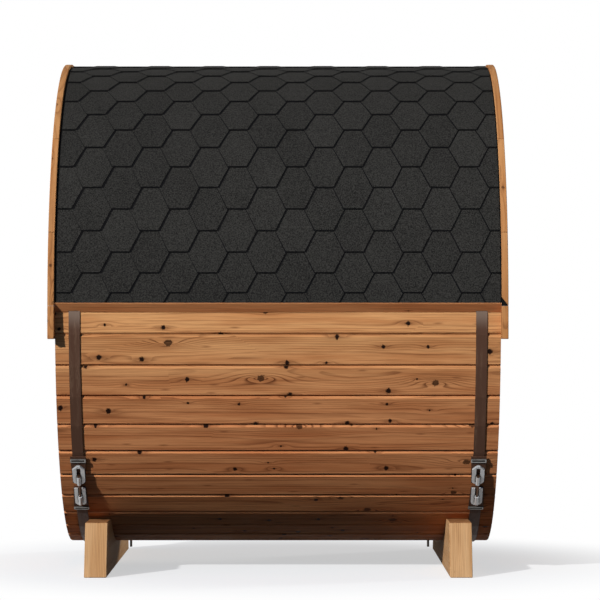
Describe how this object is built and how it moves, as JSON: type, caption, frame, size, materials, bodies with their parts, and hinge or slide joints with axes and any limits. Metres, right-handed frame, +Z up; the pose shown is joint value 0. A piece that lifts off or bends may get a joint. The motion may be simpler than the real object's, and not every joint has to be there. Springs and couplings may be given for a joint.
{
  "type": "barrel sauna",
  "caption": "Barrel sauna cabin: bevelled wooden staves held by steel bands with screw tensioners, shingled upper half, arched end trims and two timber cradles.",
  "frame": {"origin": "on the ground, midway along the barrel and under its axis", "axes": "+X along the barrel towards the door end, +Y away from the pictured side, +Z up"},
  "size_m": [1.8, 2.0582, 2.1099],
  "materials": {
    "stave_wood": "planed heat-treated softwood with dark knots",
    "cradle_wood": "sawn pale softwood",
    "trim_wood": "planed heat-treated softwood",
    "eaves_wood": "planed heat-treated softwood",
    "deck_wood": "planed softwood, hidden under the covering",
    "shingle_felt": "matt granular bitumen shingle",
    "band_paint": "brown paint on flat steel",
    "keeper_steel": "bright steel",
    "lug_chrome": "polished plating",
    "bolt_steel": "bright steel",
    "floor_bolt_steel": "dark steel",
    "hinge_steel": "dark paint",
    "handle_wood": "planed heat-treated softwood",
    "wall_wood": "planed heat-treated softwood boards"
  },
  "bodies": {
    "root": {"band_left": "band_paint", "band_right": "band_paint", "cradle_left": "cradle_wood", "cradle_right": "cradle_wood", "door_boards": "wall_wood", "door_handle": "handle_wood", "door_head": "wall_wood", "door_hinges": "hinge_steel", "door_jambs": "wall_wood", "door_ledges": "wall_wood", "door_sill": "wall_wood", "door_wall_back": "wall_wood", "door_wall_front": "wall_wood", "door_wall_head": "wall_wood", "door_wall_sill": "wall_wood", "draw_bolt_left": "bolt_steel", "draw_bolt_right": "bolt_steel", "eaves_back": "eaves_wood", "eaves_front": "eaves_wood", "end_plates_left": "band_paint", "end_plates_right": "band_paint", "floor_bolts": "floor_bolt_steel", "keepers_left": "keeper_steel", "keepers_right": "keeper_steel", "lugs_left": "lug_chrome", "lugs_right": "lug_chrome", "rear_wall": "wall_wood", "roof_cover_back": "shingle_felt", "roof_cover_front": "shingle_felt", "roof_deck_back": "deck_wood", "roof_deck_front": "deck_wood", "staves_back_crown": "stave_wood", "staves_back_lower": "stave_wood", "staves_back_upper": "stave_wood", "staves_floor": "stave_wood", "staves_front_crown": "stave_wood", "staves_front_lower": "stave_wood", "staves_front_upper": "stave_wood", "trim_arc_left": "trim_wood", "trim_arc_right": "trim_wood", "trim_legs_left": "trim_wood", "trim_legs_right": "trim_wood"}
  },
  "joints": []
}
